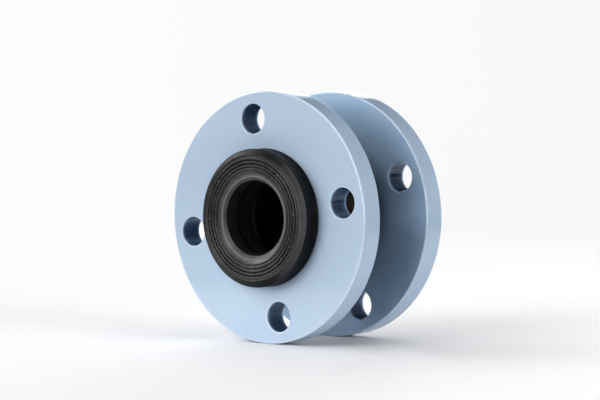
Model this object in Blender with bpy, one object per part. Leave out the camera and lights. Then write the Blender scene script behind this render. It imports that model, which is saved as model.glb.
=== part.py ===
"""Single-sphere rubber expansion joint, nominal bore 50 mm, with two loose steel flanges.

Frame: the pipe axis is +Y, +Z is up, and the origin is on the pipe axis halfway between
the two sealing faces. The front end is at -Y and the rear end at +Y. Units are metres.

The rubber body is built up like a tyre: liner, cord ply, middle rubber, cord ply and cover
run from end to end over one arch, and each end is locked round a steel bead ring inside a
thick sealing collar. A loose flange sits behind each collar and turns freely on the neck.
"""

import math

import bmesh
import bpy
from mathutils import Matrix, Vector

MM = 0.001

# ---- driving dimensions ------------------------------------------------------------------
# flanges
FLANGE_RADIUS = 76.2 * MM
FLANGE_THICKNESS = 15.0 * MM
FLANGE_GAP = 45.2 * MM              # clear distance between the flanges' inner faces
FLANGE_HOLE_RADIUS = 36.0 * MM      # centre hole, round the rubber neck
FLANGE_SEAT_CHAMFER = 2.0 * MM      # on both edges of the centre hole
FLANGE_EDGE_RADIUS = 1.0 * MM       # rounding of the rim's two edges
BOLT_CIRCLE_RADIUS = 60.325 * MM
BOLT_COUNT = 4
BOLT_HOLE_RADIUS = 9.0 * MM
BOLT_HOLE_CHAMFER = 0.7 * MM
# how far each loose flange has been turned on its neck, from +X towards +Z
FRONT_CLOCKING = math.radians(9.8)
REAR_CLOCKING = math.radians(23.6)

# rubber body
BORE_RADIUS = 22.5 * MM
NECK_RADIUS = 34.0 * MM
CROWN_INNER_RADIUS = 40.5 * MM
CROWN_OUTER_RADIUS = 49.0 * MM      # leaves room for M16 bolt heads on the bolt circle
COLLAR_RADIUS = 41.7 * MM
COLLAR_PROTRUSION = 13.3 * MM       # sealing face beyond the flange's outer face
COLLAR_SHOULDER_DROP = 2.3 * MM     # how far the collar's edge lies behind its sealing face
COLLAR_EDGE_RADIUS = 0.8 * MM
COLLAR_WAIST = 0.7 * MM             # hollow of the collar's side between its two edges
CREST_OUTER_RADIUS = 38.2 * MM      # outside of the flat, grooved part of the sealing face
CREST_INNER_RADIUS = 27.5 * MM
LIP_BEND_RADIUS = 24.9 * MM         # where the lip turns down into the bore
LIP_BEND_DROP = 2.3 * MM
LIP_MOUTH_DROP = 3.6 * MM
GROOVE_COUNT = 5                    # sealing grooves round the face
GROOVE_FIRST_RADIUS = 28.35 * MM
GROOVE_PITCH = 2.13 * MM
GROOVE_WIDTH = 0.9 * MM
GROOVE_DEPTH = 0.6 * MM
FACE_THICKNESS = 4.4 * MM           # rubber over the turned-up ply
SKIRT_THICKNESS = 3.1 * MM          # rubber outside the bead ring
COLLAR_BACK_THICKNESS = 1.0 * MM    # rubber between the bead ring and the flange

# arch outlines, as half widths along the pipe axis
INNER_ARCH_HALF_WIDTH = 15.0 * MM
INNER_ARCH_SHOULDER_RADIUS = 33.5 * MM
INNER_ROOT_RADIUS = 11.0 * MM
OUTER_ARCH_HALF_WIDTH = 21.2 * MM
OUTER_ARCH_SHOULDER_RADIUS = 38.0 * MM
OUTER_ROOT_RADIUS = 3.0 * MM

# layers of the wall, from the bore outwards, as shares of its thickness
LAYERS = {
    "inner_liner": (0.0, 0.21),
    "first_cord_ply": (0.245, 0.335),
    "middle_rubber": (0.37, 0.59),
    "second_cord_ply": (0.625, 0.715),
    "outer_cover": (0.75, 1.0),
}

# bead: steel ring, its fabric wrap and the rubber filler under it
BEAD_RADIUS = 36.0 * MM
BEAD_SECTION_RADIUS = 1.35 * MM
BEAD_WRAP_THICKNESS = 0.5 * MM
BEAD_FILLER_TOP_RADIUS = 33.4 * MM
BEAD_FILLER_WIDTH = 2.6 * MM
BEAD_FILLER_SLOPE = 0.9 * MM

CLEARANCE = 0.3 * MM                # between pieces that touch

# facets round the axis; flats at the top, bottom and sides, so each flange stands on a flat
FLANGE_STEPS = 60
BOLT_HOLE_STEPS = 20
RUBBER_STEPS = 24
SMOOTH_ANGLE = math.radians(40.0)

# ---- positions along the axis, measured outwards from the middle of the joint -----------
FLANGE_INNER_FACE = FLANGE_GAP / 2
FLANGE_OUTER_FACE = FLANGE_INNER_FACE + FLANGE_THICKNESS
SEALING_FACE = FLANGE_OUTER_FACE + COLLAR_PROTRUSION
COLLAR_BACK = FLANGE_OUTER_FACE + CLEARANCE
FACE_BACK = SEALING_FACE - FACE_THICKNESS

# material name: (linear colour, metallic, roughness)
FINISHES = {
    "flange_paint": ((0.40, 0.50, 0.62), 0.0, 0.32),
    "cover_rubber": ((0.028, 0.029, 0.032), 0.0, 0.55),
    "liner_rubber": ((0.020, 0.020, 0.022), 0.0, 0.60),
    "ply_cord": ((0.26, 0.22, 0.16), 0.0, 0.85),
    "bead_wire": ((0.55, 0.48, 0.36), 1.0, 0.35),
    "bead_fabric": ((0.16, 0.15, 0.14), 0.0, 0.9),
}


def clear_scene():
    for thing in list(bpy.data.objects):
        bpy.data.objects.remove(thing, do_unlink=True)


def finish_material(name):
    """One Principled material for each kind of surface, made once and then shared."""
    material = bpy.data.materials.get(name)
    if material is not None:
        return material
    colour, metallic, roughness = FINISHES[name]
    material = bpy.data.materials.new(name)
    material.use_nodes = True
    shader = material.node_tree.nodes["Principled BSDF"]
    shader.inputs["Base Color"].default_value = (*colour, 1.0)
    shader.inputs["Metallic"].default_value = metallic
    shader.inputs["Roughness"].default_value = roughness
    return material


def arc(centre, radii, start, end, steps):
    """Points (radius, station) on an elliptical arc; angles in degrees from the radial way."""
    points = []
    for step in range(steps + 1):
        angle = math.radians(start + (end - start) * step / steps)
        radial = centre[0] + radii[0] * math.cos(angle)
        axial = centre[1] + radii[1] * math.sin(angle)
        points.append((radial, axial))
    return points


def turned_mesh(name, profile, steps):
    """Spin a closed (radius, axial position) outline round the pipe axis."""
    bm = bmesh.new()
    half_facet = math.pi / steps
    stretch = 1.0 / math.cos(half_facet)
    start = Matrix.Rotation(half_facet, 3, "Y")
    ring = [bm.verts.new(start @ Vector((r * stretch, y, 0.0))) for r, y in profile]
    edges = [bm.edges.new((ring[i - 1], ring[i])) for i in range(len(ring))]
    bmesh.ops.spin(
        bm,
        geom=ring + edges,
        cent=(0.0, 0.0, 0.0),
        axis=(0.0, 1.0, 0.0),
        angle=2.0 * math.pi,
        steps=steps,
        use_merge=True,
    )
    bmesh.ops.remove_doubles(bm, verts=bm.verts, dist=0.00001)
    bmesh.ops.recalc_face_normals(bm, faces=bm.faces)
    mesh = bpy.data.meshes.new(name)
    bm.to_mesh(mesh)
    bm.free()
    mesh.shade_smooth()
    mesh.set_sharp_from_angle(angle=SMOOTH_ANGLE)
    return mesh


def add_piece(name, mesh, finish, parent):
    """Put a mesh in the scene under its joint's empty, keeping its world place."""
    mesh.materials.append(finish_material(finish))
    piece = bpy.data.objects.new(name, mesh)
    bpy.context.scene.collection.objects.link(piece)
    piece.parent = parent
    return piece


def add_empty(name, station):
    """A joint's frame on the pipe axis, station metres from the middle towards +Y."""
    empty = bpy.data.objects.new(name, None)
    empty.empty_display_size = 0.02
    empty.location = (0.0, station, 0.0)
    bpy.context.scene.collection.objects.link(empty)
    return empty


def placed(points, side, origin):
    """(radius, outward station) points as (radius, y) about an origin on one side's axis."""
    return [(radius, side * station - origin) for radius, station in points]


# ---- flanges -----------------------------------------------------------------------------

def flange_outline():
    edge = FLANGE_EDGE_RADIUS
    seat = FLANGE_SEAT_CHAMFER
    outer = arc(
        (FLANGE_RADIUS - edge, FLANGE_OUTER_FACE - edge), (edge, edge), 90.0, 0.0, 2
    )
    inner = arc(
        (FLANGE_RADIUS - edge, FLANGE_INNER_FACE + edge), (edge, edge), 0.0, -90.0, 2
    )
    hole = [
        (FLANGE_HOLE_RADIUS + seat, FLANGE_INNER_FACE),
        (FLANGE_HOLE_RADIUS, FLANGE_INNER_FACE + seat),
        (FLANGE_HOLE_RADIUS, FLANGE_OUTER_FACE - seat),
        (FLANGE_HOLE_RADIUS + seat, FLANGE_OUTER_FACE),
    ]
    return outer + inner + hole


def bolt_hole_cutter(name, clocking, parent, side, origin):
    """Spools on the bolt circle: each cuts a hole and the chamfers on both its edges."""
    overshoot = 2.0 * MM
    depths = [
        (BOLT_HOLE_RADIUS + BOLT_HOLE_CHAMFER + overshoot, FLANGE_INNER_FACE - overshoot),
        (BOLT_HOLE_RADIUS, FLANGE_INNER_FACE + BOLT_HOLE_CHAMFER),
        (BOLT_HOLE_RADIUS, FLANGE_OUTER_FACE - BOLT_HOLE_CHAMFER),
        (BOLT_HOLE_RADIUS + BOLT_HOLE_CHAMFER + overshoot, FLANGE_OUTER_FACE + overshoot),
    ]
    bm = bmesh.new()
    for number in range(BOLT_COUNT):
        turn = clocking + 2.0 * math.pi * number / BOLT_COUNT
        centre = Vector(
            (BOLT_CIRCLE_RADIUS * math.cos(turn), 0.0, BOLT_CIRCLE_RADIUS * math.sin(turn))
        )
        rings = []
        for radius, station in depths:
            ring = []
            for step in range(BOLT_HOLE_STEPS):
                angle = 2.0 * math.pi * step / BOLT_HOLE_STEPS
                offset = Vector(
                    (radius * math.cos(angle), side * station - origin, radius * math.sin(angle))
                )
                ring.append(bm.verts.new(centre + offset))
            rings.append(ring)
        for near, far in zip(rings, rings[1:]):
            for i in range(BOLT_HOLE_STEPS):
                bm.faces.new((near[i - 1], near[i], far[i], far[i - 1]))
        bm.faces.new(rings[0])
        bm.faces.new(rings[-1])
    bmesh.ops.recalc_face_normals(bm, faces=bm.faces)
    mesh = bpy.data.meshes.new(name)
    bm.to_mesh(mesh)
    bm.free()
    cutter = bpy.data.objects.new(name, mesh)
    bpy.context.scene.collection.objects.link(cutter)
    cutter.parent = parent
    cutter.hide_render = True
    cutter.display_type = "WIRE"
    return cutter


def add_flange(name, clocking, side, swivel):
    """A loose plate flange: bevelled rim, chamfered centre hole and four bolt holes."""
    origin = swivel.location.y
    mesh = turned_mesh(name, placed(flange_outline(), side, origin), FLANGE_STEPS)
    flange = add_piece(name, mesh, "flange_paint", swivel)
    cutter = bolt_hole_cutter(name + "_bolt_holes", clocking, swivel, side, origin)
    cut = flange.modifiers.new("bolt_holes", "BOOLEAN")
    cut.operation = "DIFFERENCE"
    cut.solver = "EXACT"
    cut.object = cutter


# ---- rubber wall -------------------------------------------------------------------------

def half_wall(crown, shoulder, half_width, root, neck):
    """Half of an arch outline from its crown to where the neck starts, as (radius, station)."""
    shoulder_arc = arc((shoulder, 0.0), (crown - shoulder, half_width), 0.0, 90.0, 3)
    root_arc = arc((neck + root, half_width + root), (root, root), 270.0, 180.0, 3)
    return shoulder_arc + root_arc


def wall_outline(share, end_station):
    """The wall's surface at a share of its thickness, from the rear end to the front end."""
    inner = half_wall(
        CROWN_INNER_RADIUS,
        INNER_ARCH_SHOULDER_RADIUS,
        INNER_ARCH_HALF_WIDTH,
        INNER_ROOT_RADIUS,
        BORE_RADIUS,
    )
    outer = half_wall(
        CROWN_OUTER_RADIUS,
        OUTER_ARCH_SHOULDER_RADIUS,
        OUTER_ARCH_HALF_WIDTH,
        OUTER_ROOT_RADIUS,
        NECK_RADIUS,
    )
    half = []
    for near, far in zip(inner, outer):
        radius = near[0] + share * (far[0] - near[0])
        station = near[1] + share * (far[1] - near[1])
        half.append((radius, station))
    half.append((half[-1][0], end_station))
    rear = [(radius, station) for radius, station in reversed(half[1:])]
    front = [(radius, -station) for radius, station in half]
    return rear + front


def neck_radius(share):
    return BORE_RADIUS + share * (NECK_RADIUS - BORE_RADIUS)


def add_wall_layer(name, finish, end_station, parent):
    """One layer of the wall as a closed sleeve from end to end."""
    inside, outside = LAYERS[name]
    bore_side = wall_outline(inside, end_station)
    outer_side = wall_outline(outside, end_station)
    outline = bore_side + list(reversed(outer_side))
    add_piece(name, turned_mesh(name, outline, RUBBER_STEPS), finish, parent)


def add_turned_up_ply(name, finish, parent):
    """The first ply: at each end it turns up in front of the bead ring and so locks it."""
    inside, outside = LAYERS[name]
    front = FACE_BACK - CLEARANCE
    thickness = neck_radius(outside) - neck_radius(inside)
    tip = COLLAR_RADIUS - SKIRT_THICKNESS - CLEARANCE
    bore_side = wall_outline(inside, front)
    outer_side = wall_outline(outside, front - thickness)
    outline = (
        [(tip, front)]
        + bore_side
        + [(tip, -front), (tip, -front + thickness)]
        + list(reversed(outer_side))
        + [(tip, front - thickness)]
    )
    add_piece(name, turned_mesh(name, outline, RUBBER_STEPS), finish, parent)


# ---- ends --------------------------------------------------------------------------------

def sealing_grooves():
    """V grooves round the sealing face, from the bore outwards."""
    points = []
    for number in range(GROOVE_COUNT):
        middle = GROOVE_FIRST_RADIUS + number * GROOVE_PITCH
        points.append((middle - GROOVE_WIDTH / 2, SEALING_FACE))
        points.append((middle, SEALING_FACE - GROOVE_DEPTH))
        points.append((middle + GROOVE_WIDTH / 2, SEALING_FACE))
    return points


def collar_outline():
    """The sealing collar: crowned face, waisted side and a back lip round the bead."""
    lip = [
        (BORE_RADIUS, SEALING_FACE - LIP_MOUTH_DROP),
        (LIP_BEND_RADIUS, SEALING_FACE - LIP_BEND_DROP),
        (CREST_INNER_RADIUS, SEALING_FACE),
    ]
    shoulder = SEALING_FACE - COLLAR_SHOULDER_DROP
    waist_station = (shoulder - COLLAR_EDGE_RADIUS + COLLAR_BACK) / 2
    rim = arc(
        (COLLAR_RADIUS - COLLAR_EDGE_RADIUS, shoulder - COLLAR_EDGE_RADIUS),
        (COLLAR_EDGE_RADIUS, COLLAR_EDGE_RADIUS),
        90.0,
        0.0,
        2,
    )
    channel = COLLAR_RADIUS - SKIRT_THICKNESS
    back_lip = COLLAR_BACK + COLLAR_BACK_THICKNESS
    return (
        [(BORE_RADIUS, FACE_BACK)]
        + lip
        + sealing_grooves()
        + [(CREST_OUTER_RADIUS, SEALING_FACE)]
        + rim
        + [
            (COLLAR_RADIUS - COLLAR_WAIST, waist_station),
            (COLLAR_RADIUS, COLLAR_BACK),
            (NECK_RADIUS + CLEARANCE, COLLAR_BACK),
            (NECK_RADIUS + CLEARANCE, back_lip),
            (channel, back_lip),
            (channel, FACE_BACK),
        ]
    )


def ply_back():
    """Station of the turned-up ply's inner side, which the bead ring lies against."""
    inside, outside = LAYERS["first_cord_ply"]
    return FACE_BACK - CLEARANCE - (neck_radius(outside) - neck_radius(inside))


def bead_station():
    """The bead ring lies midway between the turned-up ply and the collar's back lip."""
    return (ply_back() + COLLAR_BACK + COLLAR_BACK_THICKNESS) / 2


def bead_filler_back():
    """Station where the fillers start and the layers under them end."""
    return ply_back() - CLEARANCE - BEAD_FILLER_WIDTH


def bead_ring_outline():
    circle = arc((BEAD_RADIUS, bead_station()), (BEAD_SECTION_RADIUS,) * 2, 0.0, 360.0, 8)
    return circle[:-1]


def bead_wrap_outline():
    """Fabric round the bead ring, with its two edges meeting on the side away from the axis."""
    inside = BEAD_SECTION_RADIUS + CLEARANCE
    outside = inside + BEAD_WRAP_THICKNESS
    centre = (BEAD_RADIUS, bead_station())
    outer = arc(centre, (outside, outside), 15.0, 345.0, 7)
    inner = arc(centre, (inside, inside), 345.0, 15.0, 7)
    return outer + inner


def bead_filler_outline():
    """A rubber strip that fills the corner under the bead ring, over the layers of the neck."""
    base = neck_radius(LAYERS["first_cord_ply"][1]) + CLEARANCE
    front = ply_back() - CLEARANCE
    back = bead_filler_back()
    return [
        (base, front),
        (base, back),
        (BEAD_FILLER_TOP_RADIUS, back + BEAD_FILLER_SLOPE),
        (BEAD_FILLER_TOP_RADIUS, front),
    ]


def add_end(label, side, end):
    """Collar, bead ring, bead wrap and bead filler of one end of the rubber body."""
    pieces = {
        "sealing_collar": (collar_outline(), "cover_rubber"),
        "bead_ring": (bead_ring_outline(), "bead_wire"),
        "bead_wrap": (bead_wrap_outline(), "bead_fabric"),
        "bead_filler": (bead_filler_outline(), "liner_rubber"),
    }
    for part, (outline, finish) in pieces.items():
        name = label + "_" + part
        points = placed(outline, side, end.location.y)
        add_piece(name, turned_mesh(name, points, RUBBER_STEPS), finish, end)


def build():
    clear_scene()

    middle = add_empty("arch_middle", 0.0)
    layer_end = bead_filler_back() - CLEARANCE
    add_wall_layer("inner_liner", "liner_rubber", FACE_BACK - CLEARANCE, middle)
    add_turned_up_ply("first_cord_ply", "ply_cord", middle)
    add_wall_layer("middle_rubber", "liner_rubber", layer_end, middle)
    add_wall_layer("second_cord_ply", "ply_cord", layer_end, middle)
    add_wall_layer("outer_cover", "cover_rubber", layer_end, middle)

    for label, side, clocking in (
        ("front", -1.0, FRONT_CLOCKING),
        ("rear", 1.0, REAR_CLOCKING),
    ):
        end = add_empty(label + "_end", side * FLANGE_INNER_FACE)
        add_end(label, side, end)
        swivel = add_empty(label + "_swivel", side * (FLANGE_INNER_FACE + FLANGE_THICKNESS / 2))
        add_flange(label + "_flange", clocking, side, swivel)


build()
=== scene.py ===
"""Looks of the rubber expansion joint: painted loose flanges and a moulded rubber body.

Frame: pipe axis +Y (the front end at -Y), +Z up, origin on the axis at mid length, metres.
Every skin is made from outlines turned round the pipe axis, with exact normals.
"""

import math

import bpy
import numpy as np
from mathutils import Matrix, Vector


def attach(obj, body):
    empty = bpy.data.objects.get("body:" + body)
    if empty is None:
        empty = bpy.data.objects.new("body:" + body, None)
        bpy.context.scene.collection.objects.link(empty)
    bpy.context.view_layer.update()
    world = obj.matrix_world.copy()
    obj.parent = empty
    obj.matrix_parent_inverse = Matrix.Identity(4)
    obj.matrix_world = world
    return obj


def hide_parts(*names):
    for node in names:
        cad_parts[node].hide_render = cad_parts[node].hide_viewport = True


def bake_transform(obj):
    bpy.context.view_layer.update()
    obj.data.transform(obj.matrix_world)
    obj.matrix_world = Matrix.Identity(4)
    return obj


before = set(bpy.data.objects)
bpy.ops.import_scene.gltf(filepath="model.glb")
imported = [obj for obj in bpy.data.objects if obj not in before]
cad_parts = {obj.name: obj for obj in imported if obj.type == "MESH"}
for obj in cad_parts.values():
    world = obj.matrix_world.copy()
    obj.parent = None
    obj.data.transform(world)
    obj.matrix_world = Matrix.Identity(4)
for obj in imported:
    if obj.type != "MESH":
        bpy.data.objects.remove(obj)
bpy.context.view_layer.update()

MM = 0.001

# ---- dimensions, the same as the CAD part's ----------------------------------------------
FLANGE_RADIUS = 76.2 * MM
FLANGE_THICKNESS = 15.0 * MM
FLANGE_GAP = 45.2 * MM
FLANGE_HOLE_RADIUS = 36.0 * MM
FLANGE_SEAT_CHAMFER = 2.0 * MM
FLANGE_EDGE_RADIUS = 1.0 * MM
BOLT_CIRCLE_RADIUS = 60.325 * MM
BOLT_COUNT = 4
BOLT_HOLE_RADIUS = 9.0 * MM
BOLT_HOLE_ROUNDING = 0.7 * MM
FRONT_CLOCKING = math.radians(9.8)
REAR_CLOCKING = math.radians(23.6)

BORE_RADIUS = 22.5 * MM
NECK_RADIUS = 34.0 * MM
CROWN_INNER_RADIUS = 40.5 * MM
CROWN_OUTER_RADIUS = 49.0 * MM
COLLAR_RADIUS = 41.7 * MM
COLLAR_PROTRUSION = 13.3 * MM
COLLAR_SHOULDER_DROP = 2.3 * MM
COLLAR_EDGE_RADIUS = 0.8 * MM
COLLAR_WAIST = 0.7 * MM
CREST_OUTER_RADIUS = 38.2 * MM
CREST_INNER_RADIUS = 27.5 * MM
LIP_BEND_RADIUS = 24.9 * MM
LIP_BEND_DROP = 2.3 * MM
LIP_MOUTH_DROP = 3.6 * MM
GROOVE_FIRST_RADIUS = 28.35 * MM
GROOVE_PITCH = 2.13 * MM
GROOVE_WIDTH = 0.45 * MM
GROOVE_DEPTHS = (0.42 * MM, 0.60 * MM, 0.80 * MM, 0.80 * MM, 0.45 * MM)   # from the bore out
LIP_CREST_DROP = 0.35 * MM
LIP_BEAD_HEIGHT = 0.60 * MM
LIP_BEAD_WIDTH = 0.38 * MM
DISH_RADIUS = 33.5 * MM      # inside this the sealing face falls away toward the bore
FACE_THICKNESS = 4.4 * MM
SKIRT_THICKNESS = 3.1 * MM
COLLAR_BACK_THICKNESS = 1.0 * MM
INNER_ARCH = (15.0 * MM, 33.5 * MM, 11.0 * MM)   # half width, shoulder radius, root radius
OUTER_ARCH = (21.2 * MM, 38.0 * MM, 3.0 * MM)
BEAD_RADIUS = 36.0 * MM
BEAD_SECTION_RADIUS = 1.35 * MM
BEAD_WRAP_THICKNESS = 0.5 * MM
BEAD_FILLER_TOP_RADIUS = 33.4 * MM
BEAD_FILLER_WIDTH = 2.6 * MM
BEAD_FILLER_SLOPE = 0.9 * MM
BORE_GROOVE_STATION = 37.2 * MM
BORE_GROOVE_DEPTH = 0.35 * MM
BORE_GROOVE_WIDTH = 0.7 * MM
PARTING_LINE_HEIGHT = 0.28 * MM
PARTING_LINE_WIDTH = 0.45 * MM
COLLAR_BACK_EDGE_RADIUS = 0.5 * MM
CLEARANCE = 0.3 * MM

FLANGE_INNER_FACE = FLANGE_GAP / 2
FLANGE_OUTER_FACE = FLANGE_INNER_FACE + FLANGE_THICKNESS
SEALING_FACE = FLANGE_OUTER_FACE + COLLAR_PROTRUSION
COLLAR_BACK = FLANGE_OUTER_FACE + CLEARANCE
FACE_BACK = SEALING_FACE - FACE_THICKNESS
FLOOR = -FLANGE_RADIUS

# where the wall is cut into zones
ZONE_CUT = 8.6 * MM

# layer: shares of the wall's thickness, material slot
LAYERS = {
    "inner_liner": (0.0, 0.21, "liner_rubber"),
    "first_cord_ply": (0.245, 0.335, "ply_cord"),
    "middle_rubber": (0.37, 0.59, "liner_rubber"),
    "second_cord_ply": (0.625, 0.715, "ply_cord"),
    "outer_cover": (0.75, 1.0, "cover_rubber"),
}


# ==== meshes ===============================================================================

WELD_STEP = 0.001 * MM       # points nearer than this become one
WELD_SHIFT = 0.371           # keeps the welding grid's steps off the round dimensions


class Skin:
    """Collects patches of quads with exact corner normals and joins them where they meet."""

    def __init__(self):
        self.points = []
        self.normals = []
        self.quads = []
        self.count = 0

    def patch(self, points, normals, closed=False):
        """Add a grid of points (rows, columns, 3); closed joins the last row to the first."""
        rows, columns = points.shape[:2]
        index = np.arange(rows * columns).reshape(rows, columns) + self.count
        following = np.roll(index, -1, axis=0)
        if not closed:
            index, following = index[:-1], following[:-1]
        quads = np.stack(
            [index[:, :-1], index[:, 1:], following[:, 1:], following[:, :-1]], axis=-1
        )
        self.points.append(points.reshape(-1, 3))
        self.normals.append(normals.reshape(-1, 3))
        self.quads.append(quads.reshape(-1, 4))
        self.count += rows * columns

    def mesh(self, name):
        """The patches as one mesh, every face turned the way its normals point."""
        points = np.concatenate(self.points)
        normals = np.concatenate(self.normals)
        quads = np.concatenate(self.quads)
        corners = points[quads]
        across = np.cross(corners[:, 2] - corners[:, 0], corners[:, 3] - corners[:, 1])
        inward = np.einsum("ij,ij->i", across, normals[quads].mean(axis=1)) < 0
        quads[inward] = quads[inward][:, ::-1]
        keys = np.round(points / WELD_STEP + WELD_SHIFT).astype(np.int64)
        kept, welded = np.unique(keys, axis=0, return_index=True, return_inverse=True)[1:]
        welded = welded.reshape(-1)
        mesh = bpy.data.meshes.new(name)
        mesh.from_pydata(points[kept].tolist(), [], welded[quads].tolist())
        mesh.shade_smooth()
        mesh.normals_split_custom_set(normals[quads].reshape(-1, 3).tolist())
        mesh.update()
        return mesh


def line(start, end, steps=1):
    """Straight stretch of an outline, as (radius, station) rows."""
    share = np.linspace(0.0, 1.0, steps + 1)[:, None]
    return np.array(start) * (1.0 - share) + np.array(end) * share


def arc(centre, radii, start, end, steps):
    """Elliptical stretch of an outline; angles in degrees from the radial way."""
    angles = np.radians(np.linspace(start, end, steps + 1))
    radial = centre[0] + radii[0] * np.cos(angles)
    axial = centre[1] + radii[1] * np.sin(angles)
    return np.stack([radial, axial], axis=1)


def stretch_normals(points, side):
    """Normals of one smooth stretch, to its left (side 1) or its right (side -1)."""
    tangents = np.gradient(points, axis=0)
    tangents[0] = points[1] - points[0]
    tangents[-1] = points[-1] - points[-2]
    if len(points) > 2:
        tangents[0] = 2.0 * tangents[0] - (points[2] - points[0]) / 2.0
        tangents[-1] = 2.0 * tangents[-1] - (points[-1] - points[-3]) / 2.0
    normals = np.stack([-tangents[:, 1], tangents[:, 0]], axis=1) * side
    return normals / np.linalg.norm(normals, axis=1)[:, None]


def turned(skin, stretch, normals, angles, side=1.0, centre=(0.0, 0.0, 0.0)):
    """Turn one stretch of an outline round an axis along Y, on the front (-1) or rear side."""
    cos, sin = np.cos(angles)[:, None], np.sin(angles)[:, None]
    radius, station = stretch[None, :, 0], stretch[None, :, 1] * side
    flat = np.ones_like(cos)
    points = np.stack([radius * cos, station * flat, radius * sin], axis=-1) + centre
    out, along = normals[None, :, 0], normals[None, :, 1] * side
    ways = np.stack([out * cos, along * flat, out * sin], axis=-1)
    skin.patch(points, ways, closed=True)


def turned_loop(skin, stretches, angles, side, facing, centre=(0.0, 0.0, 0.0)):
    """Turn an outline made of stretches; each stretch is smooth, the corners are sharp."""
    for stretch in stretches:
        turned(skin, stretch, stretch_normals(stretch, facing), angles, side, centre)


def ring_angles(steps):
    """Even steps once round the pipe axis."""
    return np.linspace(0.0, 2.0 * math.pi, steps, endpoint=False)


def add_piece(name, mesh, material):
    """Put a mesh in the scene with its material."""
    mesh.materials.append(material)
    piece = bpy.data.objects.new(name, mesh)
    bpy.context.scene.collection.objects.link(piece)
    return piece


# ---- flanges ------------------------------------------------------------------------------

RIM_STEPS = 64          # along a quarter of the rim
SEAT_STEPS = 32         # along a quarter of the centre hole
SIDE_STEPS = 16         # from the centre hole to the rim
FACE_RINGS = 9          # from a bolt hole to the edge of its quarter
FACE_CROWDING = 1.35    # draws those rings toward the hole
QUARTER = 2.0 * math.pi / BOLT_COUNT


def quarter_edge():
    """Edge of one bolt hole's quarter of the face, as (radius, angle) rows round the hole."""
    inner = FLANGE_HOLE_RADIUS + FLANGE_SEAT_CHAMFER
    outer = FLANGE_RADIUS - FLANGE_EDGE_RADIUS
    low, high = -QUARTER / 2, QUARTER / 2
    return np.concatenate([
        line((outer, low), (outer, high), RIM_STEPS)[:-1],
        line((outer, high), (inner, high), SIDE_STEPS)[:-1],
        line((inner, high), (inner, low), SEAT_STEPS)[:-1],
        line((inner, low), (outer, low), SIDE_STEPS)[:-1],
    ])


def hole_ring(radius, headings):
    """Points of a circle round a bolt hole's centre, as (radius, angle) round the pipe axis."""
    x = BOLT_CIRCLE_RADIUS + radius * np.cos(headings)
    z = radius * np.sin(headings)
    return np.stack([np.hypot(x, z), np.arctan2(z, x)], axis=1)


def on_flange(polar, station, turn):
    """(radius, angle) rows at one station, turned to their place on the flange."""
    angle = polar[..., 1] + turn
    level = np.full_like(angle, station)
    return np.stack([polar[..., 0] * np.cos(angle), level, polar[..., 0] * np.sin(angle)], -1)


def flange_mesh(name, clocking, side):
    """A loose flange: two faces, four bolt holes, the rounded rim and the centre hole."""
    skin = Skin()
    edge = quarter_edge()
    headings = np.arctan2(
        BOLT_CIRCLE_RADIUS * edge[:, 1], edge[:, 0] - BOLT_CIRCLE_RADIUS
    )
    mouth = BOLT_HOLE_RADIUS + BOLT_HOLE_ROUNDING
    start = hole_ring(mouth, headings)
    share = (np.linspace(0.0, 1.0, FACE_RINGS + 1) ** FACE_CROWDING)[None, :, None]
    grid = start[:, None] * (1.0 - share) + edge[:, None] * share
    turns = clocking + QUARTER * np.arange(BOLT_COUNT)

    for station, facing in ((FLANGE_OUTER_FACE, 1.0), (FLANGE_INNER_FACE, -1.0)):
        for turn in turns:
            points = on_flange(grid, station * side, turn)
            ways = np.zeros_like(points)
            ways[..., 1] = facing * side
            skin.patch(points, ways, closed=True)

    rounding = BOLT_HOLE_ROUNDING
    wall = [
        arc((mouth, FLANGE_OUTER_FACE - rounding), (rounding,) * 2, 90.0, 180.0, 4),
        line(
            (BOLT_HOLE_RADIUS, FLANGE_OUTER_FACE - rounding),
            (BOLT_HOLE_RADIUS, FLANGE_INNER_FACE + rounding),
            4,
        ),
        arc((mouth, FLANGE_INNER_FACE + rounding), (rounding,) * 2, 180.0, 270.0, 4),
    ]
    for turn in turns:
        centre = BOLT_CIRCLE_RADIUS * np.array([math.cos(turn), 0.0, math.sin(turn)])
        turned_loop(skin, wall, headings + turn, side, -1, centre)

    rim_edge = FLANGE_EDGE_RADIUS
    rim_angles = clocking - QUARTER / 2 + ring_angles(RIM_STEPS * BOLT_COUNT)
    corner = FLANGE_RADIUS - rim_edge
    rim = [
        arc((corner, FLANGE_OUTER_FACE - rim_edge), (rim_edge,) * 2, 90.0, 0.0, 5),
        line(
            (FLANGE_RADIUS, FLANGE_OUTER_FACE - rim_edge),
            (FLANGE_RADIUS, FLANGE_INNER_FACE + rim_edge),
            3,
        ),
        arc((corner, FLANGE_INNER_FACE + rim_edge), (rim_edge,) * 2, 0.0, -90.0, 5),
    ]
    turned_loop(skin, rim, rim_angles, side, 1)

    seat = FLANGE_SEAT_CHAMFER
    seat_angles = clocking - QUARTER / 2 + ring_angles(SEAT_STEPS * BOLT_COUNT)
    hole = [
        line(
            (FLANGE_HOLE_RADIUS + seat, FLANGE_INNER_FACE),
            (FLANGE_HOLE_RADIUS, FLANGE_INNER_FACE + seat),
            2,
        ),
        line(
            (FLANGE_HOLE_RADIUS, FLANGE_INNER_FACE + seat),
            (FLANGE_HOLE_RADIUS, FLANGE_OUTER_FACE - seat),
            3,
        ),
        line(
            (FLANGE_HOLE_RADIUS, FLANGE_OUTER_FACE - seat),
            (FLANGE_HOLE_RADIUS + seat, FLANGE_OUTER_FACE),
            2,
        ),
    ]
    turned_loop(skin, hole, seat_angles, side, 1)
    return skin.mesh(name)


# ---- rubber wall --------------------------------------------------------------------------

WALL_STEPS = 128        # round the pipe axis


def neck_radius(share):
    """Radius of the straight neck at a share of the wall's thickness."""
    return BORE_RADIUS + share * (NECK_RADIUS - BORE_RADIUS)


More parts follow.
